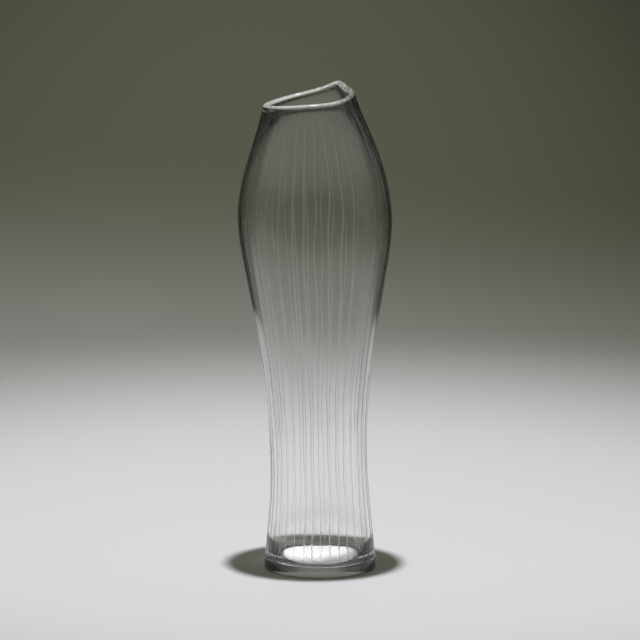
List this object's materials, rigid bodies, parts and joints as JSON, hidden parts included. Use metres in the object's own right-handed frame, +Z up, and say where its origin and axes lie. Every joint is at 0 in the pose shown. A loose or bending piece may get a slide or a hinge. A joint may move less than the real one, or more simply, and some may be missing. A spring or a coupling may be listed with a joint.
{
  "type": "glass vase",
  "caption": "Tall clear blown-glass vase with a thick foot, a narrow waist, a long swelling belly, a slanting rounded lip and fine upright cut lines.",
  "frame": {"origin": "centre of the foot's flat rest face", "axes": "+Z up the vase, +X to the right as the picture shows it, +Y away from the viewer"},
  "size_m": [0.0942, 0.0942, 0.2984],
  "materials": {
    "clear_glass": "clear polished glass with fine frosted cut lines up the outside"
  },
  "bodies": {
    "root": {"foot_base": "clear_glass", "waist_wall": "clear_glass", "belly_wall": "clear_glass", "shoulder_wall": "clear_glass", "rim_lip": "clear_glass"}
  },
  "joints": []
}
